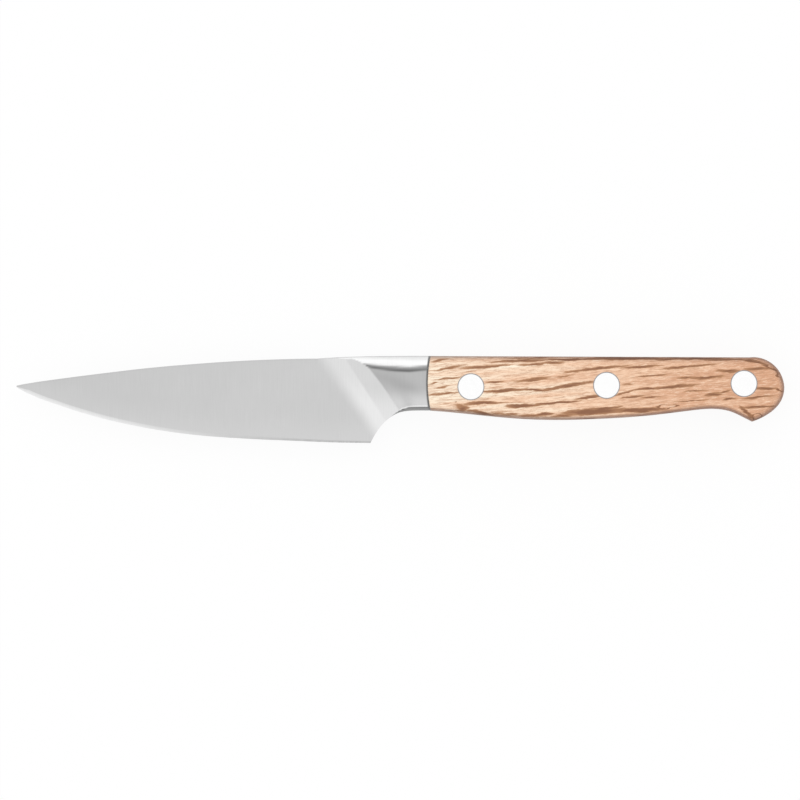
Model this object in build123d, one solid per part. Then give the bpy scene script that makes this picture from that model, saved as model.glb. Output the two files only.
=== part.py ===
from build123d import *
from math import cos, pi, radians, sin, tan
import os

os.makedirs("parts", exist_ok=True)

# A forged paring knife with a full tang between two wooden scales and three cutler's rivets.
# The knife lies on its side: X runs from the point to the butt, +Y is the spine side, +Z is up.
# While it is modelled, X = 0 is the front of the scales, Y = 0 the top of the bolster and
# Z = 0 the middle plane of the steel. The finished pieces are then moved so that the origin
# lies under the middle of the whole knife, on the surface it rests on.
# Lengths are in millimetres. A depth is measured down from the top of the bolster.

# Blade, seen from its side
blade_length = 100.0
heel_to_wood = 16.05
tip_depth = 8.6
tip_width = 0.4
spine_depth = 0.72
heel_depth = 24.6

# Blade, across its thickness
spine_thickness = 2.0
tip_thickness = 0.5
edge_thickness = 0.3
bevel_at_tip = 1.1
bevel_at_heel = 0.45

# Ramp that the grinding leaves between the blade and the bolster
ramp_angle = 57.0
ramp_length = 12.5
ramp_ridge_run = 4.6
ramp_sink = 0.25
ramp_crest_height = 2.8
ramp_crest_front = 13.3
ramp_crest_depth = 7.5
ramp_wall = 1.0

# Bolster
neck_length = 31.0
flare_start = 12.0
flare_end = 3.0
lean_fade = 8.4
bolster_inset = 0.05
under_depth = 15.4
choil_end = 10.2

# Handle, seen from its side
handle_length = 100.8
handle_top_drop = 0.4
belly_place = 36.1
belly_depth = 18.08
waist_to_end = 20.4
waist_depth = 14.93
beak_to_end = 9.1
beak_depth = 18.55
shoulder_to_end = 9.8
joint_bow = 0.8
joint_gap = 0.05

# Handle, across its thickness
handle_width = 14.6
tang_thickness = 2.2
round_height = 3.0
top_round = 4.2
under_round = 1.5
butt_round = 2.2

# Cutler's rivets
front_rivet_place = 12.3
middle_rivet_share = 0.502
rear_rivet_to_end = 11.4
rivet_depths = {"front": 8.7, "middle": 8.3, "rear": 7.8}
rivet_head_diameter = 7.4
rivet_head_thickness = 1.3
rivet_barrel_diameter = 4.0
rivet_post_diameter = 2.6
rivet_end_gap = 0.4
head_clearance = 0.03
shank_clearance = 0.02
barrel_clearance = 0.05

# One overrun serves every cut
overrun = 3.0

# Blade outline: share of the length from the tip, share of the rise from the tip to the
# spine, share of the fall from the tip to the heel
blade_shares = (
    (0.010, 0.055, 0.050),
    (0.040, 0.122, 0.144),
    (0.120, 0.268, 0.333),
    (0.240, 0.463, 0.560),
    (0.360, 0.643, 0.726),
    (0.500, 0.801, 0.854),
    (0.640, 0.919, 0.920),
    (0.780, 0.984, 0.959),
    (0.900, 1.000, 0.989),
    (1.000, 1.000, 1.000),
)
bevel_limit_share = 0.35

# Ramp: share of its rise that lies ahead of the ridge where it turns steeper
ramp_ridge_share = 0.27

# Underside of the head: the power by which it falls away to the heel, the greater one by which
# the neck would, and how far back the blade runs inside the neck
choil_power = 3.6
neck_power = 4.4
choil_steps = 6
blade_end_share = 0.69

# Neck: how round it is across, how much of the top's rounding is left at its front end, and
# how much it widens along its length
neck_round_share = 0.62
neck_end_share = 0.05
neck_taper_share = 0.05
neck_steps = 21
side_steps = 8

# Underside of the handle: share of the way along its stretch, share of its rise or fall
front_belly_shares = ((0.33, 0.39), (0.62, 0.78))
belly_waist_shares = ((0.30, 0.11), (0.60, 0.40), (0.86, 0.84))
waist_beak_shares = ((0.45, 0.19), (0.75, 0.60))

# Butt, from the shoulder to the beak: share of the distance from the shoulder to the end of
# the knife, share of the beak's depth, share of the top's rounding that is kept there
butt_shares = (
    (0.51, 0.070, 0.60),
    (0.80, 0.193, 0.15),
    (0.97, 0.372, 0.00),
    (1.00, 0.496, 0.00),
    (0.91, 0.679, 0.00),
    (0.60, 0.860, 0.00),
)
beak_inset_share = 1.15
rounding_steps = 6

half_width = handle_width / 2
waist_place = handle_length - waist_to_end
beak_place = handle_length - beak_to_end
shoulder_place = handle_length - shoulder_to_end
rivet_places = {
    "front": front_rivet_place,
    "middle": handle_length * middle_rivet_share,
    "rear": handle_length - rear_rivet_to_end,
}
half_tang = tang_thickness / 2
half_spine = spine_thickness / 2
tip_x = -heel_to_wood - blade_length


def section_plane(x):
    """The plane across the knife at x, with its first axis to the spine and its second up."""
    return Plane(origin=(x, 0, 0), x_dir=(0, 1, 0), z_dir=(1, 0, 0))


def between(start, end, share):
    return start + (end - start) * share


# Blade

def blade_section(x, top, bottom, top_thickness, lower_thickness, bevel):
    """A wedge from the spine down to the cutting bevel, which ends in the sharp edge."""
    points = (
        (top, top_thickness / 2),
        (bottom + bevel, lower_thickness / 2),
        (bottom, 0),
        (bottom + bevel, -lower_thickness / 2),
        (top, -top_thickness / 2),
    )
    return section_plane(x) * make_face(Polyline(*points, close=True))


def blade_wedge():
    """The ground blade. It runs on behind the heel, into the neck."""
    tip_bevel = tip_width * bevel_limit_share
    sections = [
        blade_section(
            tip_x,
            -tip_depth + tip_width / 2,
            -tip_depth - tip_width / 2,
            tip_thickness / 2,
            edge_thickness / 2,
            tip_bevel,
        )
    ]
    for along, rise, fall in blade_shares:
        top = -between(tip_depth, spine_depth, rise)
        bottom = -between(tip_depth, heel_depth, fall)
        bevel = min(between(bevel_at_tip, bevel_at_heel, along), (top - bottom) * bevel_limit_share)
        x = tip_x + blade_length * along
        thickness = between(tip_thickness, spine_thickness, along)
        sections.append(blade_section(x, top, bottom, thickness, edge_thickness, bevel))
    rear_section = blade_section(
        -heel_to_wood * blade_end_share,
        -spine_depth,
        -heel_depth,
        spine_thickness,
        edge_thickness,
        bevel_at_heel,
    )
    return loft(sections) + loft([sections[-1], rear_section], ruled=True)


def choil_height(x):
    """Height of the underside of the head at x, between the heel corner and the neck."""
    return -under_depth - (heel_depth - under_depth) * (-x / heel_to_wood) ** choil_power


def choil_cutter():
    """Everything below the head, from the heel corner back to where the rounded neck begins."""
    low = -heel_depth - overrun
    curve = []
    for step in range(choil_steps + 1):
        x = -between(heel_to_wood, choil_end, step / choil_steps)
        curve.append((x, choil_height(x)))
    outline = [
        Spline(*curve),
        Line(curve[-1], (0, -under_depth - overrun)),
        Line((0, -under_depth - overrun), (0, low)),
        Line((0, low), (-heel_to_wood, low)),
        Line((-heel_to_wood, low), curve[0]),
    ]
    return extrude(make_face(outline), handle_width, both=True)


# Bolster

def half_neck(x, y):
    """Half the width of the bolster. It flares out along lines that lean like the ramp."""
    lean = (max(y, -heel_depth) + ramp_crest_depth) / tan(radians(ramp_angle))
    place = x + lean * min(1, -x / lean_fade)
    neck = ramp_crest_height + neck_taper_share * (place + ramp_crest_front)
    along = min(1, max(0, (place + flare_start) / (flare_start - flare_end)))
    return between(neck, half_width - bolster_inset, along * along * (3 - 2 * along))


def neck_section(x, top, round_down):
    """A rounded section of the bolster and neck.

    Its underside passes below the choil ahead of the place where the choil ends.
    """
    neck_fall = (-under_depth - choil_height(-choil_end)) * (-x / choil_end) ** neck_power
    low = -under_depth - neck_fall
    side_top = top - round_down
    side_low = low + under_round
    places = [step / side_steps for step in range(side_steps + 1)]
    side = []
    for place in places:
        y = between(side_low, side_top, place)
        side.append((y, half_neck(x, y)))
    top_across = min(round_height, side[-1][1] * neck_round_share)
    low_across = min(round_height, side[0][1] * neck_round_share)
    crown = side[-1][1] - top_across
    keel = side[0][1] - low_across
    outline = [
        Line((low, keel), (low, -keel)),
        EllipticalCenterArc((side_low, -keel), under_round, low_across, 180, arc_size=90),
        Edge.make_spline([(y, -half) for y, half in side], parameters=places),
        EllipticalCenterArc((side_top, -crown), round_down, top_across, -90, arc_size=90),
        Line((top, -crown), (top, crown)),
        EllipticalCenterArc((side_top, crown), round_down, top_across, 0, arc_size=90),
        Edge.make_spline(side[::-1], parameters=places),
        EllipticalCenterArc((side_low, keel), under_round, low_across, 90, arc_size=90),
    ]
    return section_plane(x) * make_face(outline)


def neck_body():
    """The bolster before its ramp is ground."""
    sections = []
    for step in range(neck_steps + 1):
        back = step / neck_steps
        down = top_round * between(1, neck_end_share, back**3)
        sections.append(neck_section(-neck_length * back, -spine_depth * back**3, down))
    return loft(sections[::-1]) + extrude(sections[0], overrun)


def ramp_cutter():
    """What the grinding takes off above the ramp, on one side of the blade.

    The foot of the ramp lies just below the face of the blade, all the way down it.
    """
    angle = radians(ramp_angle)
    blade_fall = (spine_thickness - edge_thickness) / 2 / (heel_depth - spine_depth)
    plane = Plane(
        origin=(-ramp_crest_front, -ramp_crest_depth, 0),
        x_dir=(sin(angle), cos(angle), 0),
        z_dir=(cos(angle), -sin(angle), -blade_fall * sin(angle)),
    )
    foot_depth = ramp_crest_depth + ramp_length * cos(angle)
    foot_height = half_spine - blade_fall * (foot_depth - spine_depth) - ramp_sink
    ridge_height = between(foot_height, ramp_crest_height, ramp_ridge_share)
    steepness = (ramp_crest_height - ridge_height) / ramp_ridge_run
    foot = (-ramp_length, foot_height)
    ridge = (-ramp_ridge_run, ridge_height)
    wall = (ramp_wall, ramp_crest_height + steepness * ramp_wall)
    far = -ramp_length - blade_length
    profile = Polyline(
        foot,
        ridge,
        wall,
        (ramp_wall, handle_width),
        (far, handle_width),
        (far, -handle_width),
        (-ramp_length, -handle_width),
        close=True,
    )
    return extrude(plane * make_face(profile), blade_length, both=True)


# Handle outline and its rounding

def handle_outline(top_inset, under_inset, butt_inset):
    """The handle from its side, drawn in by these amounts at the top, the underside and butt."""
    top_front = -top_inset
    shoulder = (shoulder_place, -handle_top_drop - top_inset)
    centre = Vector((shoulder_place, -beak_depth / 2))
    butt = []
    for along, down, top_share in butt_shares:
        point = Vector((between(shoulder_place, handle_length, along), -beak_depth * down))
        inset = between(butt_inset, top_inset, top_share)
        butt.append(point + (centre - point).normalized() * inset)
    beak = (beak_place, -beak_depth + under_inset * beak_inset_share)
    waist = (waist_place, -waist_depth + under_inset)
    belly = (belly_place, -belly_depth + under_inset)
    front = (0, -under_depth + under_inset)
    under = [front]
    for start, end, shares in (
        (front, belly, front_belly_shares),
        (belly, waist, belly_waist_shares),
        (waist, beak, waist_beak_shares),
    ):
        if start is not front:
            under.append(start)
        under += [
            (between(start[0], end[0], along), between(start[1], end[1], change))
            for along, change in shares
        ]
    under.append(beak)
    return [
        Line((-overrun, top_front), (0, top_front)),
        Line((0, top_front), shoulder),
        Spline(shoulder, *butt, beak),
        Spline(*under[::-1]),
        Line(front, (-overrun, front[1])),
        Line((-overrun, front[1]), (-overrun, top_front)),
    ]


def rounded_slab(bottom, top, outline):
    """An upright slab whose upper edges round inwards, from an outline that takes insets."""
    start = top - round_height
    slab = Pos(0, 0, bottom) * extrude(make_face(outline(0, 0, 0)), start - bottom)
    sections = []
    for step in range(rounding_steps + 1):
        angle = pi / 2 * step / rounding_steps
        inset = 1 - cos(angle)
        face = make_face(outline(top_round * inset, under_round * inset, butt_round * inset))
        sections.append(Pos(0, 0, start + round_height * sin(angle)) * face)
    return slab + loft(sections)


def joint_cutter(gap):
    """Everything in front of the bowed joint between the bolster and the wood."""
    bowed = joint_bow + gap
    far = -2 * neck_length
    outline = [
        Line((bowed, overrun), (bowed, 0)),
        ThreePointArc((bowed, 0), (gap, -under_depth / 2), (bowed, -under_depth)),
        Line((bowed, -under_depth), (bowed, -heel_depth - overrun)),
        Line((bowed, -heel_depth - overrun), (far, -heel_depth - overrun)),
        Line((far, -heel_depth - overrun), (far, overrun)),
        Line((far, overrun), (bowed, overrun)),
    ]
    return extrude(make_face(outline), handle_width, both=True)


def rivet_hole(end, radius):
    """A round hole through the whole handle at one rivet."""
    return Pos(rivet_places[end], -rivet_depths[end], 0) * Cylinder(radius, handle_width + overrun)


def tang():
    """The flat steel between the scales, with its edge level with theirs all round."""
    plate = extrude(make_face(handle_outline(0, 0, 0)), half_tang, both=True) - joint_cutter(0)
    for end in rivet_places:
        plate -= rivet_hole(end, rivet_barrel_diameter / 2 + barrel_clearance)
    return plate


def forged_blade():
    """Blade, bolster and tang in one forging."""
    ramp = ramp_cutter()
    head = neck_body() - ramp - mirror(ramp, Plane.XY)
    head &= joint_cutter(0)
    return head + blade_wedge() - choil_cutter() + tang()


# Scales

def scale():
    """The upper handle plate, seated on the tang, with a counterbore for each rivet head."""
    plate = rounded_slab(half_tang, half_width, handle_outline)
    plate -= joint_cutter(joint_gap)
    seat = half_width - rivet_head_thickness
    for end in rivet_places:
        plate -= rivet_hole(end, rivet_barrel_diameter / 2 + barrel_clearance)
        bore = Cylinder(
            rivet_head_diameter / 2 + head_clearance,
            rivet_head_thickness + overrun,
            align=(Align.CENTER, Align.CENTER, Align.MIN),
        )
        plate -= Pos(rivet_places[end], -rivet_depths[end], seat) * bore
    return plate


# Rivets

def standing(radius, bottom, top):
    """A round bar that stands between two heights."""
    bar = Cylinder(radius, top - bottom, align=(Align.CENTER, Align.CENTER, Align.MIN))
    return Pos(0, 0, bottom) * bar


def rivet_post():
    """The lower half: a head, and a solid shank that presses into the barrel."""
    seat = -half_width + rivet_head_thickness
    shank_top = half_width - rivet_head_thickness - rivet_end_gap
    head = standing(rivet_head_diameter / 2, -half_width, seat)
    return head + standing(rivet_post_diameter / 2, seat, shank_top)


def rivet_cap():
    """The upper half: a head, and a hollow barrel that takes the shank."""
    seat = half_width - rivet_head_thickness
    barrel_bottom = -seat + rivet_end_gap
    head = standing(rivet_head_diameter / 2, seat, half_width)
    barrel = standing(rivet_barrel_diameter / 2, barrel_bottom, seat)
    bore = standing(rivet_post_diameter / 2 + shank_clearance, barrel_bottom, seat)
    return head + (barrel - bore)


# Assembly and output

def resting(shape):
    """Moves a piece to where it lies when the knife rests on its side."""
    middle_x = (tip_x + handle_length) / 2
    return Pos(-middle_x, heel_depth / 2, half_width) * shape


def all_pieces():
    upper = scale()
    pieces = {
        "forged_blade": forged_blade(),
        "right_scale": upper,
        "left_scale": mirror(upper, Plane.XY),
    }
    for end in rivet_places:
        place = Pos(rivet_places[end], -rivet_depths[end], 0)
        pieces[end + "_rivet_post"] = place * rivet_post()
        pieces[end + "_rivet_cap"] = place * rivet_cap()
    return pieces


for name, piece in all_pieces().items():
    export_step(resting(piece), os.path.join("parts", name + ".step"))
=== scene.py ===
import bmesh
import bpy
import math
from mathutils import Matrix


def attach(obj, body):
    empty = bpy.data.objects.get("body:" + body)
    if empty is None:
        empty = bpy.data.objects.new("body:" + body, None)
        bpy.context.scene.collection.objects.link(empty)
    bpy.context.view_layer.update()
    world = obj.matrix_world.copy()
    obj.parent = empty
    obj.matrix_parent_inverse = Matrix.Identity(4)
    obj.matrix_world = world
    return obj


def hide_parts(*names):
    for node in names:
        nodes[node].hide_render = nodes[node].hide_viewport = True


# A forged paring knife on a pale floor, seen from straight above.
# Lengths named here are in millimetres, and MM turns them into the frame's metres.
# Handle places are counted from the front of the wood, and depths from the top of the bolster.
MM = 0.001
MIDDLE_X = 7.625
MIDDLE_Y = 12.3
MIDDLE_Z = 7.3

# Camera
CAMERA_HEIGHT = 9000.0
CAMERA_X = -0.085
CAMERA_Y = -0.14
SENSOR_WIDTH = 36.0
VIEW_WIDTH = 226.0

# Floor and world
FLOOR_SIZE = 6000.0
FLOOR_DROP = 0.05
FLOOR_COLOUR = (0.95, 0.95, 0.95, 1)
SHADOW_SHARE = 0.09
WHITE = (1, 1, 1, 1)

# What polished steel sees round the knife, and what lights it: the angle of the direction from
# the upright plane along the knife, in degrees towards the spine's side, and how bright it is
STUDIO_REFLECTED = (
    (-90, 0.80),
    (-60, 0.95),
    (-35, 1.00),
    (0, 1.00),
    (25, 1.00),
    (40, 1.12),
    (70, 1.02),
    (90, 0.85),
)
STUDIO_LIGHT = (
    (-90, 0.55),
    (-50, 0.95),
    (0, 1.05),
    (50, 1.20),
    (90, 0.80),
)
STUDIO_SCALE = 2.0

# Blade, as it is built
BLADE_LENGTH = 100.0
HEEL_TO_WOOD = 16.05
TIP_X = -HEEL_TO_WOOD - BLADE_LENGTH
TIP_DEPTH = 8.6
TIP_WIDTH = 0.4
SPINE_DEPTH = 0.72
HEEL_DEPTH = 24.6
SPINE_THICKNESS = 2.0
TIP_THICKNESS = 0.5
EDGE_THICKNESS = 0.3
BEVEL_AT_TIP = 1.1
BEVEL_AT_HEEL = 0.45
BEVEL_LIMIT = 0.35
SPINE_EASE = 0.2
SPINE_EASE_LIMIT = 0.25
TIP_GROWTH = 0.02
RISE_POINTS = (
    (0.000, 0.025),
    (0.010, 0.055),
    (0.040, 0.122),
    (0.120, 0.268),
    (0.240, 0.463),
    (0.360, 0.643),
    (0.500, 0.801),
    (0.640, 0.919),
    (0.780, 0.984),
    (0.900, 1.000),
    (1.000, 1.000),
)
FALL_POINTS = (
    (0.000, 0.013),
    (0.010, 0.050),
    (0.040, 0.144),
    (0.120, 0.333),
    (0.240, 0.560),
    (0.360, 0.726),
    (0.500, 0.854),
    (0.640, 0.920),
    (0.780, 0.959),
    (0.900, 0.989),
    (1.000, 1.000),
)

# Ramp and bolster, as they are built
RAMP_ANGLE = math.radians(57)
RAMP_LENGTH = 12.5
RIDGE_RUN = 4.6
RAMP_SINK = 0.25
CREST_HEIGHT = 2.8
CREST_FRONT = 13.3
CREST_DEPTH = 7.5
RIDGE_SHARE = 0.27
WALL_RISE = 5.0
NECK_LENGTH = 31.0
FLARE_START = 12.0
FLARE_END = 3.0
LEAN_FADE = 8.4
HALF_BOLSTER = 7.25
UNDER_DEPTH = 15.4
CHOIL_END = 10.2
CHOIL_POWER = 3.6
NECK_POWER = 4.4
NECK_TAPER = 0.05
NECK_ROUND = 0.62
NECK_END = 0.05
ROUND_HEIGHT = 3.0
TOP_ROUND = 4.2
UNDER_ROUND = 1.5
JOINT_BOW = 0.8
BOW_FADE = 3.0
HALF_TANG = 1.1
SEAM_EASE = 0.15
SEAM_REACH = 0.45
PLUNGE_EASE = 0.05
FOOT_EASE = 0.12

# Steel mesh
TOP_ROWS = 12
LOW_ROWS = 8
MIDDLE_ROWS = 56
FULL_HEIGHT = 10.0
UPPER_SHARE = 0.25
TIP_STEPS = (0, 0.15, 0.4, 0.8)
TIP_REACH = 1.3
BLADE_STEP = 1.2
HEAD_STEP = 0.25
SEAM_STEPS = (0.75, 0.5, 0.25, 0.1, 0)
RIM_SHARES = (0.15, 0.5, 0.85)
TANG_MARGIN = 0.02
JOINT_MARGIN = 0.05
SHOULDER_MARGIN = 0.01
SHARP_ANGLE = math.radians(30)
MERGE = 0.001

# Tones of the steel: the light and dark that reflections give it, painted into its colour. Names in
# FADE and GROWTH hold where a change starts and how far it reaches.

# Blade: its tone and painted sheen
BLADE_TONE = 0.612
TIP_SHARE = 0.94
HEEL_GAIN = 0.06
EDGE_GAIN = 0.05
EDGE_GAIN_REACH = 9.0
SPINE_LOSS = 0.03
SPINE_LOSS_REACH = 0.7
BEVEL_TONES = (0.86, 0.44)
BEVEL_FADE = (0.15, 0.85)
FINE_LINE = 0.1
RIM_TONE = 0.57

# Ramp: painted sheen
GENTLE_TONES = (0.74, 0.83)
GENTLE_FADE = (3.0, 12.0)
STEEP_TONES = (0.69, 0.79)
STEEP_FADE = (8.0, 9.0)
RIDGE_SOFTNESS = 0.5
POLISH_SOFTNESS = 0.16
FOOT_SOFTNESS = 0.3

# Side of the bolster in painted reflection, with a painted dark line and a painted slanted shade below
# it
SIDE_TONE = 0.50
LOW_TONE = 0.66
LOW_FADE = (8.5, 5.0)
PAINTED_WHITE_TONE = 0.94
WHITE_START = 1.5
WHITE_SOFTNESS = 0.5
PAINTED_LINE_TONE = 0.165
LINE_DEPTH = 4.3
LINE_LENGTH = 18.0
LINE_RISE = 1.75
LINE_END = 5.0
LINE_END_RISE = 0.5
LINE_BELOW = 0.34
LINE_ABOVE = (0.85, 0.3)
LINE_STRENGTH = 0.82
LINE_STRENGTH_FADE = (0.0, 6.0)
SHADE_TONE = 0.05
SHADE_X = -9.0
SHADE_DEPTH = 7.4
SHADE_SLOPE = 0.35
SHADE_WIDTH = 1.7
SHADE_FADE = (0.0, 5.0)

# Underside of the bolster in painted shade, and a painted highlight on the crease above it
UNDER_SHADE_TONES = (0.09, 0.30, 0.15)
UNDER_HEIGHT = 0.95
UNDER_GROWTH = (-11.1, 6.0)
UNDER_FADE = (-11.3, 1.0)
LOW_BAND = 0.4
HIGH_BAND_FADE = (0.6, 0.3)
CREASE_HEIGHT = 0.36
CREASE_FADE = (-11.5, 2.0)

# Top of the neck with a painted highlight and grey line, and painted shade in the seam at the wood
TOP_PAINTED_LINE_TONE = 0.48
TOP_LINE_WIDTH = 0.28
TOP_LINE_FADE = (-NECK_LENGTH, 6.0)
SLIVER_WIDTH = 0.45
SLIVER_MARGIN = 0.18
SLIVER_SOFTNESS = 0.12
SLIVER_GROWTH = (-27.0, 5.0)
SLIVER_FADE = (-27.0, 3.0)
TOP_SHADE = 0.78
TOP_SHADE_DEPTH = 1.4
TOP_SHADE_FADE = (-20.0, 8.0)
SEAM_SHADE_TONE = 0.20

# Flecks on the face of the upper scale: X and Y of the middle in the frame, length, rise to
# the right in degrees, width, and how dark
UPPER_FLECKS = (
    (11.2, 11.1, 5.5, 9, 0.5, 0.6),
    (13.5, 8.9, 8.7, 10, 0.6, 0.6),
    (24.0, 9.3, 12.8, 4, 0.8, 0.6),
    (34.0, 10.9, 14.0, 2, 0.6, 0.6),
    (37.4, 10.0, 7.4, 5, 0.6, 0.5),
    (13.7, 6.0, 7.0, 6, 0.5, 0.6),
    (9.1, 4.5, 2.3, 13, 0.5, 0.6),
    (11.8, 3.5, 3.8, 11, 0.5, 0.4),
    (12.4, 1.7, 8.4, 7, 0.7, 0.5),
    (15.3, -0.7, 1.3, 5, 0.4, 0.5),
    (17.2, -2.3, 3.6, -6, 1.9, 0.7),
    (20.5, -3.4, 6.0, -14, 0.6, 0.35),
    (29.0, -4.1, 12.0, -4, 1.0, 0.22),
    (37.0, -4.5, 12.0, 1, 0.9, 0.3),
    (46.5, -4.5, 8.0, 3, 0.8, 0.35),
    (36.0, 11.7, 16.0, 0, 0.6, 0.3),
    (64.0, 11.6, 24.0, 0, 0.8, 0.8),
    (84.0, 11.6, 16.0, 0, 0.7, 0.8),
    (23.5, -1.0, 10.6, 2, 0.7, 0.7),
    (22.8, -3.7, 7.5, -11, 0.8, 0.6),
    (26.9, 5.0, 3.9, 4, 0.5, 0.6),
    (37.5, 5.6, 9.0, 7, 0.9, 0.5),
    (29.3, 2.5, 11.0, 3, 0.8, 0.7),
    (37.9, 2.7, 6.0, -4, 0.6, 0.7),
    (34.0, -1.8, 8.7, 1, 0.8, 0.8),
    (44.4, -0.9, 11.0, 5, 0.7, 0.8),
    (31.7, -4.0, 2.8, 0, 0.5, 0.6),
    (40.3, -4.2, 4.8, 3, 0.7, 0.7),
    (48.6, 11.3, 18.4, 1, 0.45, 0.9),
    (43.0, 10.4, 6.0, 0, 0.6, 0.5),
    (55.5, 8.7, 16.0, 6.5, 0.7, 0.6),
    (67.8, 9.2, 9.5, 3.5, 0.6, 0.6),
    (46.0, 6.5, 5.8, 9, 0.5, 0.35),
    (40.5, 5.8, 2.5, 5, 0.4, 0.35),
    (47.0, 3.8, 15.3, 9.5, 0.85, 0.6),
    (52.9, 0.6, 6.5, 7, 0.7, 0.6),
    (63.2, 1.9, 6.7, 15, 0.5, 0.5),
    (70.0, 3.0, 7.0, 5, 0.6, 0.6),
    (65.1, 0.7, 6.0, 6, 0.45, 0.6),
    (70.6, 0.6, 5.7, 2, 0.4, 0.6),
    (64.2, 4.3, 4.2, 7, 0.6, 0.35),
    (70.8, 6.7, 7.0, 3, 0.5, 0.6),
    (54.5, -3.4, 15.0, 3, 1.5, 0.8),
    (57.5, -2.6, 9.0, 8, 0.8, 0.7),
    (67.7, -3.0, 11.5, 3.5, 1.0, 0.9),
    (75.3, 11.25, 6.0, 0, 0.4, 0.9),
    (92.0, 11.2, 11.4, 0, 0.4, 0.9),
    (81.3, 9.3, 14.0, 5.5, 0.6, 0.6),
    (80.7, 6.1, 4.8, 6, 0.5, 0.6),
    (87.0, 6.3, 7.6, 4, 0.75, 0.65),
    (76.6, 3.6, 12.0, 6, 0.7, 0.65),
    (82.8, 2.4, 5.8, 4, 0.35, 0.5),
    (88.7, 1.4, 4.0, 7, 0.8, 0.6),
    (92.1, 2.2, 3.0, 17, 0.4, 0.5),
    (92.5, 8.05, 5.6, 0, 0.8, 0.6),
    (101.2, 8.7, 7.0, 2, 0.9, 0.55),
    (99.8, 10.7, 6.5, -12, 0.6, 0.7),
    (104.3, 8.9, 4.6, -32, 0.6, 0.8),
    (106.5, 6.9, 3.6, -55, 0.5, 0.6),
    (103.2, 3.1, 5.2, 0, 0.6, 0.7),
    (106.8, 2.7, 2.2, -22, 0.5, 0.7),
    (92.7, 0.2, 3.0, 8, 0.5, 0.7),
    (100.5, 0.6, 7.4, 6, 0.55, 0.6),
    (101.2, -2.1, 8.8, 3, 0.5, 0.65),
    (97.6, -3.6, 4.6, -42, 0.9, 0.7),
    (82.5, -0.3, 8.0, 2, 0.35, 0.6),
)

# Rings in the grain: X and Y of the middle, reach, width, rise, and how dark
FLECK_RINGS = (
    (100.6, -4.8, 1.5, 0.75, 5, 0.8),
    (75.4, -2.0, 2.7, 0.5, 3, 0.6),
)
RING_SPREAD = 1.6
RING_SOFTNESS = 0.13
FLECK_REACH = 5.0
PALE_SHARE = 0.5
PALE_REACH = 28.0
FLECK_SHARE = 0.97
FLECK_STRETCH = 1.5

# Flecks scattered over the rest of the wood
SCATTER_STRETCH = (0.075, 1.0, 1.0)
SCATTER_RIM = (0.34, 0.12)
SCATTER_STRENGTHS = (0.25, 0.9)

# Colours of the wood
WOOD_COLOURS = ((1.0, 0.87, 0.69, 1), (0.91, 0.60, 0.405, 1), (0.69, 0.36, 0.205, 1))
RAMP_MIDDLE = 0.45
STREAK_COLOUR = (0.66, 0.355, 0.21, 1)
GRAIN_COLOUR = (0.52, 0.29, 0.18, 1)
PALE_COLOUR = (1.0, 0.80, 0.62, 1)
FLECK_COLOUR = (0.49, 0.245, 0.115, 1)
CORE_COLOUR = (0.24, 0.095, 0.04, 1)
# Painted shade: the narrow sides, the seam at the bolster and the rings round the rivets
NARROW_SIDE_SHADE = (0.43, 0.39, 0.41, 1)
SEAM_SHADE_COLOUR = (0.20, 0.19, 0.18, 1)
RIVET_RING_SHADE = (0.30, 0.31, 0.33, 1)

# Rivets: place along the wood and depth
RIVETS = {"front": (12.3, 8.7), "middle": (50.6, 8.3), "rear": (89.4, 7.8)}
RIVET_RADIUS = 3.7
RING_WIDTH = 0.22

# Patterns in the wood and the steel: how they are stretched, their detail and their roughness
WAVER = ((0.22, 0.8, 0.8), 5.0, 0.6)
BANDS = ((0.035, 0.5, 0.5), 4.0, 0.5)
STREAKS = ((0.16, 2.0, 2.0), 5.0, 0.7)
GRAINS = ((0.42, 3.2, 3.2), 5.0, 0.8)
LINES = ((6.0, 0.12, 0.4), 4.0, 0.7)
CLOUDS = ((0.06, 0.1, 0.06), 2.0, 0.5)
RIVET_CLOUDS = ((0.8, 0.8, 0.8), 3.0, 0.5)

# How far the grain wavers about its middle, its tilt, and the shift of the lower scale's pattern
WAVER_MIDDLE = (0.5, 0.5, 0.5)
WAVER_REACH = (4.0, 1.3, 1.0)
GRAIN_TILT = math.radians(4.5)
LOWER_SHIFT = (37, 11, 5)

# How a measure turns into a share or a level: its two limits, and the results there if they
# aren't 0 and 1
BACK_SHARES = (5.0, 100.0)
BAND_SHARES = (0.3, 0.7, -0.30, 0.34)
STREAK_SHARES = (0.46, 0.72, 0.0, 0.80)
GRAIN_SHARES = (0.50, 0.66, 0.0, 0.85)
PALE_SHARES = (0.49, 0.36, 0.0, 0.65)
FLECK_BREAKS = (0.3, 0.7, -0.10, 0.10)
CORE_BREAKS = (0.3, 0.7, -0.15, 0.15)
FLECK_RIM = (-0.01, 0.22)
CORE_RIM = (0.05, 0.5)
SCATTERED_SHARES = (0.6, 0.3)
NARROW_SHARES = (0.93, 0.45)
# Painted shade in the seam at the bolster
SEAM_SHADE_SHARES = (0.28, 0.10, 0.0, 0.8)
# Painted shade in thin rings round the rivets, on the wood and at the rim of each head
WOOD_RING_SHADE = (RIVET_RADIUS + RING_WIDTH, RIVET_RADIUS + 0.05, 0.0, 0.6)
STEEL_RING_SHADE = (RIVET_RADIUS - RING_WIDTH, RIVET_RADIUS - 0.08)
LINE_LEVELS = (0.3, 0.7, 0.965, 1.035)
CLOUD_LEVELS = (0.3, 0.7, 0.985, 1.015)
RIVET_LEVELS = (0.2, 0.8, 0.97, 1.0)
WOOD_ROUGHNESS = (0.0, 1.0, 0.50, 0.60)
STEEL_ROUGHNESS = (0.3, 0.7, 0.30, 0.38)
RIVET_ROUGHNESS = (0.2, 0.8, 0.18, 0.24)

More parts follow.
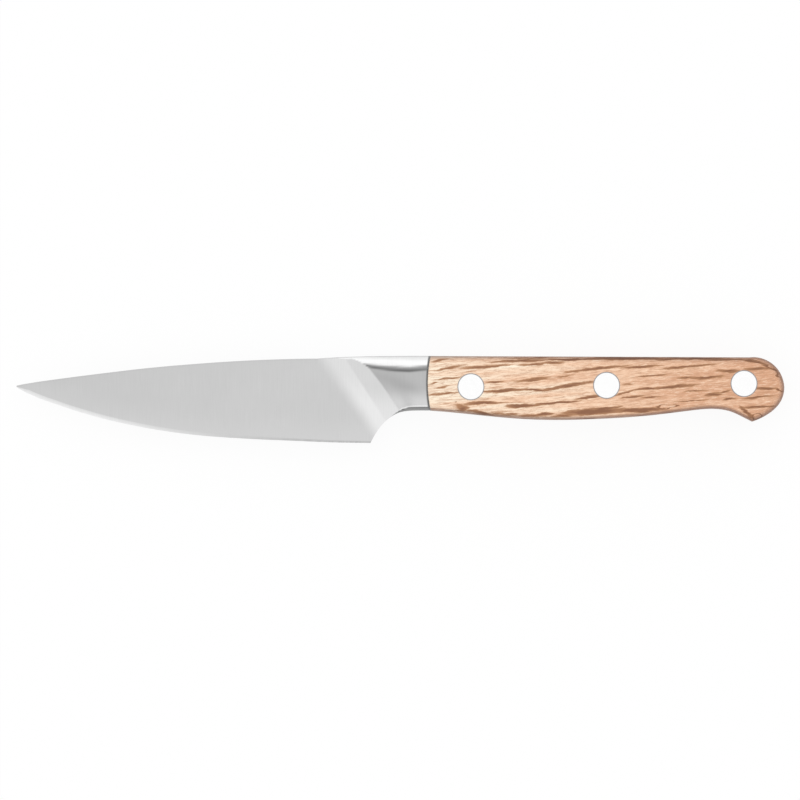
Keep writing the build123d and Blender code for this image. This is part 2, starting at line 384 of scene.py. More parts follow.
# Bumps: strength and height
WOOD_BUMP = (0.2, 0.04)
STEEL_BUMP = (0.05, 0.02)

# Colour sockets of the mix node
MIX_FIRST = 6
MIX_SECOND = 7
MIX_RESULT = 2


# Numbers

def between(start, end, share):
    return start + (end - start) * share


def clamped(value):
    return min(1.0, max(0.0, value))


def smooth(value):
    share = clamped(value)
    return share * share * (3 - 2 * share)


def rising(value, start, reach):
    """0 up to the start and 1 from the end of the reach, with a smooth rise between."""
    return smooth((value - start) / reach)


def crossing(value, width):
    """0 below zero and 1 above it, with a smooth rise of this width between."""
    return smooth(value / width + 0.5)


def bell(value, width):
    return math.exp(-((value / width) ** 2))


def rounding(turn):
    """How far a quarter circle has fallen at this share of its run."""
    return 1 - math.sqrt(1 - turn * turn)


def soft_max(first, second, reach):
    """The greater of two heights, with a soft crossing."""
    share = clamped(0.5 + (first - second) / (2 * reach))
    return between(second, first, share) + reach * share * (1 - share)


def soft_min(first, second, reach):
    return -soft_max(-first, -second, reach)


def slope_at(points, index):
    """Slope of a smooth curve at one of its points, from the points beside it."""
    first = max(0, index - 1)
    last = min(len(points) - 1, index + 1)
    if first == index or last == index:
        return (points[last][1] - points[first][1]) / (points[last][0] - points[first][0])
    before = points[index][0] - points[first][0]
    after = points[last][0] - points[index][0]
    rise_before = (points[index][1] - points[first][1]) / before
    rise_after = (points[last][1] - points[index][1]) / after
    return (rise_before * after + rise_after * before) / (before + after)


def curve(points, place):
    """Value at a place on the smooth curve through these points."""
    index = 0
    while index < len(points) - 2 and place > points[index + 1][0]:
        index += 1
    (start, low), (end, high) = points[index], points[index + 1]
    run = end - start
    share = clamped((place - start) / run)
    leave = slope_at(points, index) * run * share * (1 - share) ** 2
    arrive = slope_at(points, index + 1) * run * share**2 * (1 - share)
    return between(low, high, smooth(share)) + leave - arrive


# Nodes

class Tree:
    """Adds nodes to a material or world and links them."""

    def __init__(self, owner):
        owner.use_nodes = True
        self.tree = owner.node_tree
        self.tree.nodes.clear()

    def add(self, kind, inputs=(), **settings):
        node = self.tree.nodes.new(kind)
        for name, value in settings.items():
            setattr(node, name, value)
        for key, value in dict(inputs).items():
            self.plug(node.inputs[key], value)
        return node

    def plug(self, socket, value):
        if isinstance(value, bpy.types.NodeSocket):
            self.tree.links.new(value, socket)
        else:
            socket.default_value = value

    def math(self, operation, first, second=0.0, clamp=False):
        settings = {"operation": operation, "use_clamp": clamp}
        return self.add("ShaderNodeMath", {0: first, 1: second}, **settings).outputs[0]

    def vector(self, operation, first, second):
        node = self.add("ShaderNodeVectorMath", {0: first, 1: second}, operation=operation)
        return node.outputs[0]

    def mix(self, share, first, second, blend="MIX"):
        inputs = {"Factor": share, MIX_FIRST: first, MIX_SECOND: second}
        node = self.add("ShaderNodeMix", inputs, data_type="RGBA", blend_type=blend)
        return node.outputs[MIX_RESULT]

    def range(self, value, low, high, to_low=0.0, to_high=1.0, smooth=False):
        inputs = dict(enumerate((value, low, high, to_low, to_high)))
        kind = "SMOOTHSTEP" if smooth else "LINEAR"
        return self.add("ShaderNodeMapRange", inputs, interpolation_type=kind).outputs[0]

    def stretched(self, place, stretch, shift=(0, 0, 0), tilt=0.0):
        if tilt:
            turned = self.add("ShaderNodeMapping", {"Vector": place, "Rotation": (0, 0, -tilt)})
            place = turned.outputs[0]
        inputs = {"Vector": place, "Scale": stretch, "Location": shift}
        return self.add("ShaderNodeMapping", inputs).outputs[0]

    def noise(self, place, pattern, shift=(0, 0, 0), tilt=0.0, output=0):
        stretch, detail, roughness = pattern
        where = self.stretched(place, stretch, shift, tilt)
        inputs = {"Vector": where, "Scale": 1.0, "Detail": detail, "Roughness": roughness}
        return self.add("ShaderNodeTexNoise", inputs).outputs[output]

    def grey(self, tone):
        return self.add("ShaderNodeCombineColor", {0: tone, 1: tone, 2: tone}).outputs[0]

    def bump(self, height, strength, distance):
        inputs = {"Strength": strength, "Distance": distance * MM, "Height": height}
        return self.add("ShaderNodeBump", inputs).outputs[0]

    def surface(self, socket, kind="ShaderNodeOutputMaterial"):
        self.add(kind, {"Surface": socket})


def object_place(tree):
    """The place on the object in millimetres."""
    place = tree.add("ShaderNodeTexCoord").outputs["Object"]
    return tree.stretched(place, (1 / MM, 1 / MM, 1 / MM))


def rivet_distance(tree, place, end):
    """How far the place is from the middle of a rivet, seen from above."""
    along, depth = RIVETS[end]
    away = tree.vector("SUBTRACT", place, (along + MIDDLE_X, MIDDLE_Y - depth, 0))
    flat = tree.vector("MULTIPLY", away, (1, 1, 0))
    return tree.add("ShaderNodeVectorMath", {0: flat}, operation="LENGTH").outputs["Value"]


def principled(tree, **inputs):
    named = {name.replace("_", " "): value for name, value in inputs.items()}
    tree.surface(tree.add("ShaderNodeBsdfPrincipled", named).outputs[0])


# Objects

def new_object(name, data):
    item = bpy.data.objects.new(name, data)
    bpy.context.scene.collection.objects.link(item)
    return item


def paint(node, material):
    node.data.materials.clear()
    node.data.materials.append(material)


# Wood

def wavered_place(tree, place, shift):
    """The place that the grain and its flecks go by, which wavers a little."""
    waver = tree.noise(place, WAVER, shift, output="Color")
    centred = tree.vector("SUBTRACT", waver, WAVER_MIDDLE)
    return tree.vector("ADD", place, tree.vector("MULTIPLY", centred, WAVER_REACH))


def flatness(tree):
    """1 on the broad faces and 0 on the narrow sides."""
    normal = tree.add("ShaderNodeNewGeometry").outputs["True Normal"]
    return tree.math("ABSOLUTE", tree.add("ShaderNodeSeparateXYZ", {0: normal}).outputs[2])


def scattered_flecks(tree, place, shift):
    """Flecks of many lengths, for the wood that the picture doesn't show."""
    where = tree.stretched(place, SCATTER_STRETCH, shift)
    cells = tree.add("ShaderNodeTexVoronoi", {"Vector": where, "Scale": 1.0, "Randomness": 1.0})
    near = tree.range(cells.outputs["Distance"], *SCATTER_RIM)
    parts = tree.add("ShaderNodeSeparateColor", {0: cells.outputs["Color"]})
    return tree.math("MULTIPLY", near, tree.range(parts.outputs[0], *SCATTER_STRENGTHS))


def fleck_ball(tree, place, x, y, rise, reach, width):
    """1 in the middle of a fleck on the upper face, falling to 0 at its reach and width."""
    inputs = {
        "Vector": place,
        "Location": (x, y, 2 * MIDDLE_Z),
        "Rotation": (0, 0, math.radians(rise)),
        "Scale": (reach, width, FLECK_REACH),
    }
    where = tree.add("ShaderNodeMapping", inputs, vector_type="TEXTURE").outputs[0]
    return tree.add("ShaderNodeTexGradient", {0: where}, gradient_type="SPHERICAL").outputs["Fac"]


def read_flecks(tree, place):
    """The flecks on the face of the upper scale, one by one, paler towards the bolster."""
    dark = 0.0
    for x, y, length, rise, width, strength in UPPER_FLECKS:
        reach = length / 2 * FLECK_STRETCH
        ball = fleck_ball(tree, place, x, y, rise, reach, width / 2 * FLECK_STRETCH)
        strength *= between(PALE_SHARE, 1, clamped(x / PALE_REACH))
        dark = tree.math("MAXIMUM", tree.math("MULTIPLY", ball, strength), dark)
    for x, y, reach, width, rise, strength in FLECK_RINGS:
        ball = fleck_ball(tree, place, x, y, rise, reach * RING_SPREAD, width * RING_SPREAD)
        off = tree.math("ABSOLUTE", tree.math("SUBTRACT", ball, 1 - 1 / RING_SPREAD))
        dark = tree.math("MAXIMUM", tree.range(off, RING_SOFTNESS, 0.0, 0.0, strength), dark)
    return dark


def plain_wood(tree, along, bands, streaks, grains):
    """The wood without its flecks: broad soft bands, fine streaks and grains."""
    back = tree.range(along, *BACK_SHARES)
    share = tree.math("ADD", back, tree.range(bands, *BAND_SHARES), clamp=True)
    ramp = tree.add("ShaderNodeValToRGB", {0: share})
    points = ramp.color_ramp.elements
    points.new(RAMP_MIDDLE)
    for point, colour in zip(points, WOOD_COLOURS):
        point.color = colour
    base = tree.mix(tree.range(streaks, *STREAK_SHARES), ramp.outputs[0], STREAK_COLOUR)
    base = tree.mix(tree.range(grains, *GRAIN_SHARES), base, GRAIN_COLOUR)
    return tree.mix(tree.range(grains, *PALE_SHARES), base, PALE_COLOUR)


def seam_shade_share(tree, along, across):
    """How strong the painted shade in the seam at the bolster is here. It is bowed like the joint."""
    off = tree.math("ADD", across, UNDER_DEPTH / 2 - MIDDLE_Y)
    bow = tree.math("MULTIPLY", tree.math("MULTIPLY", off, off), JOINT_BOW / (UNDER_DEPTH / 2) ** 2)
    into = tree.math("SUBTRACT", tree.math("SUBTRACT", along, bow), MIDDLE_X)
    return tree.range(into, *SEAM_SHADE_SHARES)


def wood_material(name, upper, shift=(0, 0, 0)):
    """Light brown wood with fine grain, soft bands and dark flecks, and painted shade on its narrow
    sides, in the seam and round the rivets.
    """
    material = bpy.data.materials.new(name)
    tree = Tree(material)
    place = object_place(tree)
    wavered = wavered_place(tree, place, shift)
    flat = flatness(tree)
    flecks = scattered_flecks(tree, wavered, shift)
    if upper:
        flecks = tree.math("MULTIPLY", flecks, tree.range(flat, *SCATTERED_SHARES))
        flecks = tree.math("MAXIMUM", flecks, read_flecks(tree, wavered))
    bands = tree.noise(wavered, BANDS, shift, GRAIN_TILT)
    streaks = tree.noise(wavered, STREAKS, shift, GRAIN_TILT)
    grains = tree.noise(place, GRAINS, shift, GRAIN_TILT)
    parts = tree.add("ShaderNodeSeparateXYZ", {0: place}).outputs
    base = plain_wood(tree, parts[0], bands, streaks, grains)

    # Flecks are broken up by the streaks and darkest along their middles
    broken = tree.math("ADD", flecks, tree.range(streaks, *FLECK_BREAKS))
    covered = tree.range(broken, *FLECK_RIM, smooth=True)
    core = tree.math("ADD", broken, tree.range(grains, *CORE_BREAKS))
    fleck_colour = tree.mix(tree.range(core, *CORE_RIM), FLECK_COLOUR, CORE_COLOUR)
    covered = tree.math("MULTIPLY", covered, FLECK_SHARE)
    colour = tree.mix(covered, base, fleck_colour)

    # Painted shade: darker on the narrow sides, in the seam and round the rivets
    colour = tree.mix(tree.range(flat, *NARROW_SHARES), colour, NARROW_SIDE_SHADE, "MULTIPLY")
    colour = tree.mix(seam_shade_share(tree, parts[0], parts[1]), colour, SEAM_SHADE_COLOUR)
    for end in RIVETS:
        ring = tree.range(rivet_distance(tree, place, end), *WOOD_RING_SHADE)
        colour = tree.mix(ring, colour, RIVET_RING_SHADE)
    bump = tree.bump(streaks, *WOOD_BUMP)
    rough = tree.range(covered, *WOOD_ROUGHNESS)
    principled(tree, Base_Color=colour, Roughness=rough, Normal=bump)
    return material


# Steel shape, in the coordinates it is built in

def blade_outline(x):
    """Top and bottom of the blade at x, and the share of its length from the tip."""
    along = clamped((x - TIP_X) / BLADE_LENGTH)
    top = -between(TIP_DEPTH, SPINE_DEPTH, curve(RISE_POINTS, along))
    bottom = -between(TIP_DEPTH, HEEL_DEPTH, curve(FALL_POINTS, along))
    if along == 0:
        top = -TIP_DEPTH + TIP_WIDTH / 2
    return top, bottom, along


def bevel_height(x):
    """Height of the cutting bevel at x."""
    top, bottom, along = blade_outline(x)
    return min(between(BEVEL_AT_TIP, BEVEL_AT_HEEL, along), (top - bottom) * BEVEL_LIMIT)


def blade_half(x, y):
    """Half the thickness of the ground blade."""
    top, bottom, along = blade_outline(x)
    shoulder = bottom + bevel_height(x)
    thin = min(1, 0.5 + along / TIP_GROWTH)
    edge = EDGE_THICKNESS / 2 * thin
    if y < shoulder:
        return edge * max(0, y - bottom) / (shoulder - bottom)
    spine = between(TIP_THICKNESS, SPINE_THICKNESS, along) / 2 * thin
    return between(edge, spine, (y - shoulder) / (top - shoulder))


def choil_height(x):
    """Lower outline behind the heel, where the blade's height falls away."""
    return -UNDER_DEPTH - (HEEL_DEPTH - UNDER_DEPTH) * (-x / HEEL_TO_WOOD) ** CHOIL_POWER


def neck_low(x):
    """Lower outline of the bolster."""
    fall = -UNDER_DEPTH - choil_height(-CHOIL_END)
    return -UNDER_DEPTH - fall * (max(0, -x) / CHOIL_END) ** NECK_POWER


def neck_top(x):
    """Upper outline of the neck and the bolster."""
    return -SPINE_DEPTH * clamped(-x / NECK_LENGTH) ** 3


def top_rounding(x):
    """How far down from the top the bolster's rounded corners reach."""
    return TOP_ROUND * between(1, NECK_END, clamped(-x / NECK_LENGTH) ** 3)


def outline(x):
    """Top and bottom of the whole steel at x."""
    top, bottom, _ = blade_outline(x)
    if x > -NECK_LENGTH:
        top = neck_top(x)
    if x > -CHOIL_END:
        bottom = neck_low(x)
    elif x > -HEEL_TO_WOOD:
        bottom = choil_height(x)
    return top, bottom


def neck_side(x, y):
    """Half the width of the bolster's side."""
    lean = (max(y, -HEEL_DEPTH) + CREST_DEPTH) / math.tan(RAMP_ANGLE)
    place = x + lean * min(1, -x / LEAN_FADE)
    neck = CREST_HEIGHT + NECK_TAPER * (place + CREST_FRONT)
    return between(neck, HALF_BOLSTER, smooth((place + FLARE_START) / (FLARE_START - FLARE_END)))


def neck_half(x, y):
    """Half the width of the bolster, with its rounded corners."""
    side_top = neck_top(x) - top_rounding(x)
    side_low = neck_low(x) + UNDER_ROUND
    side = neck_side(x, min(side_top, max(side_low, y)))
    across = min(ROUND_HEIGHT, side * NECK_ROUND)
    if y > side_top:
        turn = clamped((y - side_top) / top_rounding(x))
    elif y < side_low:
        turn = clamped((side_low - y) / UNDER_ROUND)
    else:
        return side
    return side - across * rounding(turn)


def ramp_half(x, y):
    """Half the thickness that the grinding leaves on the ramp, and how far past its crest that is."""
    past = (x + CREST_FRONT) * math.sin(RAMP_ANGLE) + (y + CREST_DEPTH) * math.cos(RAMP_ANGLE)
    down = (x + CREST_FRONT) * math.cos(RAMP_ANGLE) - (y + CREST_DEPTH) * math.sin(RAMP_ANGLE)
    fall = (SPINE_THICKNESS - EDGE_THICKNESS) / 2 / (HEEL_DEPTH - SPINE_DEPTH)
    foot_depth = CREST_DEPTH + RAMP_LENGTH * math.cos(RAMP_ANGLE)
    foot = SPINE_THICKNESS / 2 - fall * (foot_depth - SPINE_DEPTH) - RAMP_SINK
    ridge = between(foot, CREST_HEIGHT, RIDGE_SHARE)
    if past < -RIDGE_RUN:
        height = between(ridge, foot, (-RIDGE_RUN - past) / (RAMP_LENGTH - RIDGE_RUN))
    else:
        height = between(CREST_HEIGHT, ridge, -past / RIDGE_RUN)
        height += WALL_RISE * max(0, past) ** 2
    return height - fall * math.sin(RAMP_ANGLE) * down, past


def joint_bow(y):
    """How far behind its middle the bowed joint lies at this height."""
    off = y + UNDER_DEPTH / 2
    return JOINT_BOW * (off / (UNDER_DEPTH / 2)) ** 2


def steel_point(x, y):
    """Half the thickness of the steel at a point of its outline, and its painted reflection tone
    there.
    """
    top, bottom = outline(x)
    half = blade_half(x, y)
    tone = blade_painted_sheen(x, y)
    if x > -NECK_LENGTH:
        neck = neck_half(x, y)
        ramp, past = ramp_half(x, y)
        head = soft_min(neck, ramp, PLUNGE_EASE)
        polished = crossing(ramp - neck, POLISH_SOFTNESS)
        # The ramp and the bolster take their painted reflections here
        head_painted_tone = between(ramp_painted_sheen(y, past), bolster_painted_reflection(x, y, y - bottom), polished)
        tone = between(tone, head_painted_tone, crossing(head - half, FOOT_SOFTNESS))
        half = soft_max(half, head, FOOT_EASE)
        tone = top_painted_reflection(x, y, tone)
    ease = min(SPINE_EASE, (top - bottom) * SPINE_EASE_LIMIT)
    half -= ease * rounding(clamped((y - top) / ease + 1)) * smooth(-x / HEEL_TO_WOOD)
    half -= SEAM_EASE * rounding(clamped((x + SEAM_EASE) / SEAM_EASE))
    # The eased seam at the wood also takes painted shade
    return half, between(tone, SEAM_SHADE_TONE, at_seam(x))


# Steel tones

def at_seam(x):
    """1 in the seam at the wood, and 0 ahead of it."""
    return rising(x, -SEAM_REACH, SEAM_EASE)


def blade_painted_sheen(x, y):
    """Satin steel with painted sheen: a little lighter towards the heel and the edge, lighter still on
    the bevel.
    """
    top, bottom, along = blade_outline(x)
    above = y - bottom
    share = TIP_SHARE + HEEL_GAIN * along + EDGE_GAIN * smooth(1 - above / EDGE_GAIN_REACH)
    tone = BLADE_TONE * share - SPINE_LOSS * smooth(1 - (top - y) / SPINE_LOSS_REACH)
    bevel = between(*BEVEL_TONES, rising(along, *BEVEL_FADE))
    return between(bevel, tone, crossing(above - bevel_height(x), FINE_LINE))


def ramp_painted_sheen(y, past):
    """Painted sheen on the ramp: the gentle part is the brighter one, and both are lighter lower down.
    """
    gentle = between(*GENTLE_TONES, rising(-y, *GENTLE_FADE))
    steep = between(*STEEP_TONES, rising(-y, *STEEP_FADE))
    return between(gentle, steep, crossing(past + RIDGE_RUN, RIDGE_SOFTNESS))


def side_painted_reflection(x, depth):
    """Painted reflection on the polished side of the bolster: a dark line below the white of its top,
    lighter lower down.
    """
    back = clamped(-x / LINE_LENGTH)
    line = LINE_DEPTH - LINE_RISE * back**3 - LINE_END_RISE * clamped(1 + x / LINE_END)
    tone = between(SIDE_TONE, LOW_TONE, rising(depth, *LOW_FADE))
    slanted = SHADE_DEPTH + (x - SHADE_X) * SHADE_SLOPE
    tone -= SHADE_TONE * bell(depth - slanted, SHADE_WIDTH) * rising(-x, *SHADE_FADE)
    reach = LINE_BELOW if depth > line else between(*LINE_ABOVE, back**4)
    strength = between(LINE_STRENGTH, 1, rising(-x, *LINE_STRENGTH_FADE))
    tone -= (tone - PAINTED_LINE_TONE) * strength * bell(depth - line, reach)
    white = crossing(line - WHITE_START * reach - depth, WHITE_SOFTNESS)
    return between(tone, PAINTED_WHITE_TONE, white)


def bolster_painted_reflection(x, y, above):
    """The side's painted reflection, with a painted highlight on the crease and painted shade on the
    darker underside at its lower edge.
    """
    tone = side_painted_reflection(x, -y)
    under = UNDER_HEIGHT * rising(x, *UNDER_GROWTH)
    crease = smooth((under + CREASE_HEIGHT - above) / FINE_LINE) * rising(x, *CREASE_FADE)
    tone = between(tone, PAINTED_WHITE_TONE, crease)
    across = clamped(above / max(under, MERGE))
    top, middle, bottom = UNDER_SHADE_TONES
    low = between(bottom, middle, smooth(across / LOW_BAND))
    low = between(low, top, rising(across, *HIGH_BAND_FADE))
    return between(tone, low, crossing(under - above, FINE_LINE) * rising(x, *UNDER_FADE))


def top_painted_reflection(x, y, tone):
    """A painted highlight in a white sliver along the top of the neck, dimmed by painted shade further
    back, with a thin painted grey line at its very edge.
    """
    down = neck_top(x) - y
    sliver = SLIVER_WIDTH * rising(x, *SLIVER_GROWTH)
    white = smooth((sliver + SLIVER_MARGIN - down) / SLIVER_SOFTNESS) * rising(x, *SLIVER_FADE)
    tone = between(tone, PAINTED_WHITE_TONE, white)
    shaded = min(tone, between(TOP_SHADE, PAINTED_WHITE_TONE, smooth(down / TOP_SHADE_DEPTH)))
    tone = between(tone, shaded, rising(x, *TOP_SHADE_FADE))
    line = between(tone, TOP_PAINTED_LINE_TONE, rising(x, *TOP_LINE_FADE))
    return between(line, tone, smooth(down / TOP_LINE_WIDTH))


# Steel mesh

def stations():
    """Places along the knife where the steel's mesh has a section."""
    places = [TIP_X + step for step in TIP_STEPS]
    for start, end, step in (
        (TIP_X + TIP_REACH, -NECK_LENGTH, BLADE_STEP),
        (-NECK_LENGTH, -HEEL_TO_WOOD, HEAD_STEP),
        (-HEEL_TO_WOOD, -2 * HEAD_STEP, HEAD_STEP),
    ):
        count = round((end - start) / step)
        places += [between(start, end, place / count) for place in range(count)]
    places += [-2 * HEAD_STEP, -HEAD_STEP, -SEAM_EASE]
    return places + [-SEAM_EASE * share for share in SEAM_STEPS]


def row_heights(x):
    """Heights of the mesh's rows at one station, close together at its edges."""
    top, bottom = outline(x)
    tall = top - bottom
    if x > -HEEL_TO_WOOD:
        turns = [math.pi / 2 * row / LOW_ROWS for row in range(LOW_ROWS)]
        rows = [bottom + UNDER_ROUND * (1 - math.cos(turn)) for turn in turns]
        start = bottom + UNDER_ROUND
        first = 0
    else:
        shoulder = bottom + bevel_height(x)
        reach = UNDER_ROUND * min(1, tall / FULL_HEIGHT)
        rows = [bottom] + [shoulder + reach * row / LOW_ROWS for row in range(LOW_ROWS - 1)]
        start = shoulder + reach * (LOW_ROWS - 1) / LOW_ROWS
        first = 1
    upper_reach = min(tall * UPPER_SHARE, top_rounding(x))
    end = top - upper_reach
    for row in range(MIDDLE_ROWS):
        rows.append(between(start, end, (row + first) / (MIDDLE_ROWS + first)))
    for row in range(TOP_ROWS + 1):
        rows.append(end + upper_reach * math.sin(math.pi / 2 * row / TOP_ROWS))
    return rows


def steel_vertex(mesh, x, y, z):
    """A vertex in the frame. The steel near the wood is bowed like the joint."""
    shifted = x + joint_bow(y) * clamped((x + BOW_FADE) / BOW_FADE)
    return mesh.verts.new(((shifted + MIDDLE_X) * MM, (y + MIDDLE_Y) * MM, (z + MIDDLE_Z) * MM))


def rim_points(x, corner, side):
    """Points across the narrow rim, whose painted tone is lighter than the corners beside it."""
    y, half, tone = corner
    lighter = between(max(tone, RIM_TONE), tone, at_seam(x))
    return [(y, side * half * (1 - 2 * share), lighter) for share in RIM_SHARES]


def steel_section(mesh, painted_tones, x):
    """One section's closed ring of vertices: up one face, over the spine, down the other, under."""
    points = [(y, *steel_point(x, y)) for y in row_heights(x)]
    ring = points + rim_points(x, points[-1], 1)
    ring += [(y, -half, tone) for y, half, tone in reversed(points)]
    ring += rim_points(x, points[0], -1)
    vertices = []
    for y, z, tone in ring:
        vertex = steel_vertex(mesh, x, y, z)
        vertex[painted_tones] = tone
        vertices.append(vertex)
    return vertices


def steel_head(mesh, painted_tones):
    """Blade and bolster, section by section, with both ends closed."""
    rings = [steel_section(mesh, painted_tones, x) for x in stations()]
    count = len(rings[0])
    for near, far in zip(rings, rings[1:]):
        for place in range(count):
            after = (place + 1) % count
            mesh.faces.new((near[place], far[place], far[after], near[after]))
    rows = len(row_heights(TIP_X))
    rim = len(RIM_SHARES)
    for ring in (rings[0], rings[-1]):
        upper = ring[:rows]
        lower = ring[rows + rim : 2 * rows + rim][::-1]
        for row in range(1, rows - 2):
            mesh.faces.new((upper[row], upper[row + 1], lower[row + 1], lower[row]))
        mesh.faces.new([upper[0], upper[1], lower[1], lower[0], *ring[2 * rows + rim :]])
        mesh.faces.new([upper[-2], *ring[rows - 1 : rows + rim + 1], lower[-2]])


def tang_part(node):
    """The tang between the scales, taken from the built steel and closed at its front."""
    part = bmesh.new()
    part.from_mesh(node.data)
    part.transform(node.matrix_world)
    bmesh.ops.remove_doubles(part, verts=part.verts, dist=MERGE * MM)
    high = (HALF_TANG + TANG_MARGIN) * MM
    front = (MIDDLE_X - JOINT_MARGIN) * MM
    gone = [v for v in part.verts if v.co.x < front or abs(v.co.z - MIDDLE_Z * MM) > high]
    bmesh.ops.delete(part, geom=gone, context="VERTS")
    rim = [edge for edge in part.edges if edge.is_boundary]
    bmesh.ops.holes_fill(part, edges=rim, sides=0)
    return part


def on_shoulder(vertex):
    """Whether a vertex lies on the line between the cutting bevel and the blade's face."""
    x = vertex.co.x / MM - MIDDLE_X
    above = vertex.co.y / MM - MIDDLE_Y - outline(x)[1]
    return x <= -HEEL_TO_WOOD and abs(above - bevel_height(x)) <= SHOULDER_MARGIN


def steel_piece(node):
    """The whole forging in one piece. Only sharp corners and the bevel's shoulder stay crisp."""
    tang = tang_part(node)
    data = bpy.data.meshes.new("steel_forging")
    tang.to_mesh(data)
    tang.free()
    mesh = bmesh.new()
    mesh.from_mesh(data)
    # Each vertex carries the steel's painted reflection tone
    painted_tones = mesh.verts.layers.float.new("tone")
    for vertex in mesh.verts:
        vertex[painted_tones] = SIDE_TONE
    steel_head(mesh, painted_tones)
    bmesh.ops.remove_doubles(mesh, verts=mesh.verts, dist=MERGE * MM)
    bmesh.ops.recalc_face_normals(mesh, faces=mesh.faces)
    for face in mesh.faces:
        face.smooth = True
    for edge in mesh.edges:
        crisp = all(on_shoulder(vertex) for vertex in edge.verts)
        edge.smooth = edge.calc_face_angle(0) < SHARP_ANGLE and not crisp
    mesh.to_mesh(data)
    mesh.free()
    return new_object("steel_forging", data)


# Steel materials

def steel_material():
    """Ground and polished steel, coloured by the painted reflection tones on its mesh. Fine upright
    lines run across it.
    """
    material = bpy.data.materials.new("steel")
    tree = Tree(material)
    place = object_place(tree)
    tone = tree.add("ShaderNodeAttribute", attribute_name="tone").outputs["Fac"]
    lines = tree.noise(place, LINES)
    clouds = tree.noise(place, CLOUDS)
    tone = tree.math("MULTIPLY", tone, tree.range(lines, *LINE_LEVELS))
    tone = tree.math("MULTIPLY", tone, tree.range(clouds, *CLOUD_LEVELS))
    colour = tree.grey(tone)
    rough = tree.range(lines, *STEEL_ROUGHNESS)
    bump = tree.bump(lines, *STEEL_BUMP)
    principled(tree, Base_Color=colour, Metallic=1.0, Roughness=rough, Normal=bump)
    return material


def rivet_material(end):
    """Polished steel, with painted shade in a thin ring at the rim of the head."""
    material = bpy.data.materials.new(end + "_rivet_steel")
    tree = Tree(material)
    place = object_place(tree)
    ring = tree.range(rivet_distance(tree, place, end), *STEEL_RING_SHADE)
    clouds = tree.noise(place, RIVET_CLOUDS)
    colour = tree.mix(ring, tree.grey(tree.range(clouds, *RIVET_LEVELS)), RIVET_RING_SHADE)
    rough = tree.range(clouds, *RIVET_ROUGHNESS)
    principled(tree, Base_Color=colour, Metallic=1.0, Roughness=rough)
    return material


# Surroundings

def studio(tree, place, stops):
    """Brightness of the studio at a place from 0, on the cutting edge's side, to 1, on the spine's."""
    ramp = tree.add("ShaderNodeValToRGB", {0: place})
    points = ramp.color_ramp.elements
    while len(points) < len(stops):
        points.new(0.5)
    for point, (degrees, tone) in zip(points, stops):
        point.position = (degrees + 90) / 180
        level = tone / STUDIO_SCALE
        point.color = (level, level, level, 1)
    inputs = {0: ramp.outputs[0], "Scale": STUDIO_SCALE}
    return tree.add("ShaderNodeVectorMath", inputs, operation="SCALE").outputs[0]


def make_world():
    """White to the camera. Light and reflections come from a soft studio round the knife."""
    world = bpy.data.worlds.new("studio")
    bpy.context.scene.world = world
    tree = Tree(world)
    direction = tree.add("ShaderNodeTexCoord").outputs["Generated"]
    across = tree.add("ShaderNodeSeparateXYZ", {0: direction}).outputs[1]
    place = tree.range(tree.math("ARCSINE", across), -math.pi / 2, math.pi / 2)
    light = studio(tree, place, STUDIO_LIGHT)
    reflected = studio(tree, place, STUDIO_REFLECTED)
    path = tree.add("ShaderNodeLightPath").outputs
    lit = tree.mix(path["Is Glossy Ray"], light, reflected)
    seen = tree.math("MAXIMUM", path["Is Camera Ray"], path["Is Transmission Ray"])
    colour = tree.mix(seen, lit, WHITE)
    background = tree.add("ShaderNodeBackground", {"Color": colour, "Strength": 1.0})
    tree.surface(background.outputs[0], "ShaderNodeOutputWorld")


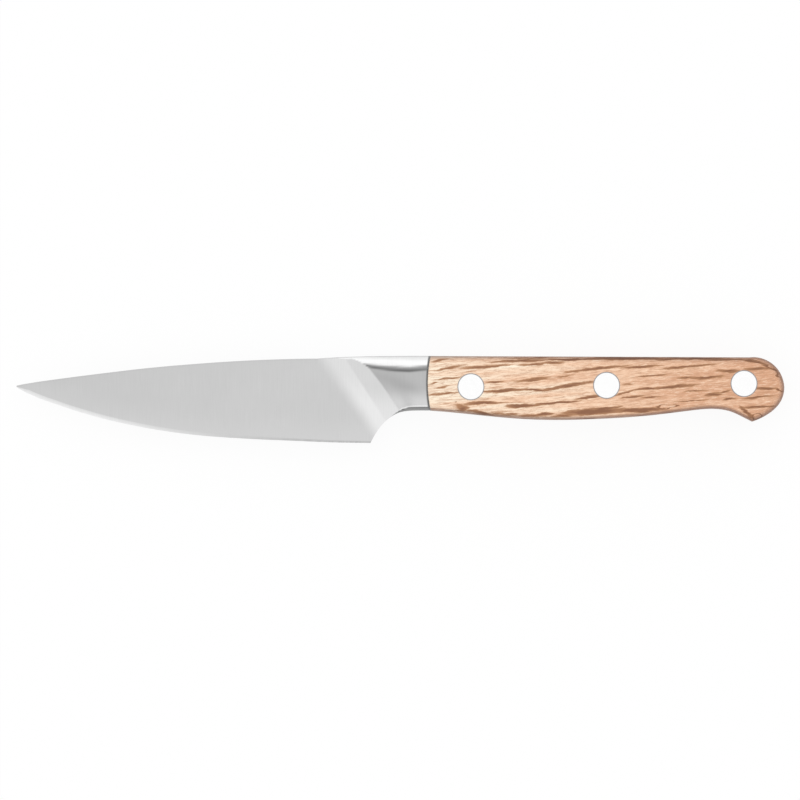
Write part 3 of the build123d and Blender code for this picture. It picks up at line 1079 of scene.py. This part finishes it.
def make_floor():
    """A white floor that keeps a faint shadow of the knife."""
    half = FLOOR_SIZE / 2 * MM
    low = -FLOOR_DROP * MM
    corners = [(-half, -half, low), (half, -half, low), (half, half, low), (-half, half, low)]
    mesh = bpy.data.meshes.new("floor")
    mesh.from_pydata(corners, [], [(0, 1, 2, 3)])
    floor = new_object("floor", mesh)
    material = bpy.data.materials.new("floor")
    tree = Tree(material)
    path = tree.add("ShaderNodeLightPath").outputs
    seen = tree.math("MAXIMUM", path["Is Camera Ray"], path["Is Glossy Ray"])
    seen = tree.math("MAXIMUM", seen, path["Is Transmission Ray"])
    share = tree.math("MULTIPLY", seen, 1 - SHADOW_SHARE)
    lit = tree.add("ShaderNodeBsdfDiffuse", {"Color": FLOOR_COLOUR})
    white = tree.add("ShaderNodeEmission", {"Color": WHITE, "Strength": 1.0})
    both = tree.add("ShaderNodeMixShader", {0: share, 1: lit.outputs[0], 2: white.outputs[0]})
    tree.surface(both.outputs[0])
    mesh.materials.append(material)


def make_camera():
    camera = bpy.data.cameras.new("camera")
    camera.sensor_width = SENSOR_WIDTH
    camera.lens = SENSOR_WIDTH * (CAMERA_HEIGHT - MIDDLE_Z) / VIEW_WIDTH
    camera.clip_end = 2 * CAMERA_HEIGHT * MM
    holder = new_object("camera", camera)
    holder.location = (CAMERA_X * MM, CAMERA_Y * MM, CAMERA_HEIGHT * MM)
    bpy.context.scene.camera = holder


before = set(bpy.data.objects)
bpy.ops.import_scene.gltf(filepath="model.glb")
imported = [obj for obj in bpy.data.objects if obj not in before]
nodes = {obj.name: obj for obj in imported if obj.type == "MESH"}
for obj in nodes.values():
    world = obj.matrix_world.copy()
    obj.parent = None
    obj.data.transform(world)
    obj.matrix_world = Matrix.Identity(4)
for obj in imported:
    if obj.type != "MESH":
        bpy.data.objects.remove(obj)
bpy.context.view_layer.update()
make_camera()
make_world()
make_floor()
paint(nodes["right_scale"], wood_material("upper_wood", True))
paint(nodes["left_scale"], wood_material("lower_wood", False, LOWER_SHIFT))
forging = steel_piece(nodes["forged_blade"])
paint(forging, steel_material())
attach(forging, "root")
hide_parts("forged_blade")
for end in RIVETS:
    steel = rivet_material(end)
    paint(nodes[end + "_rivet_cap"], steel)
    paint(nodes[end + "_rivet_post"], steel)

bpy.context.scene.view_settings.view_transform = "Standard"
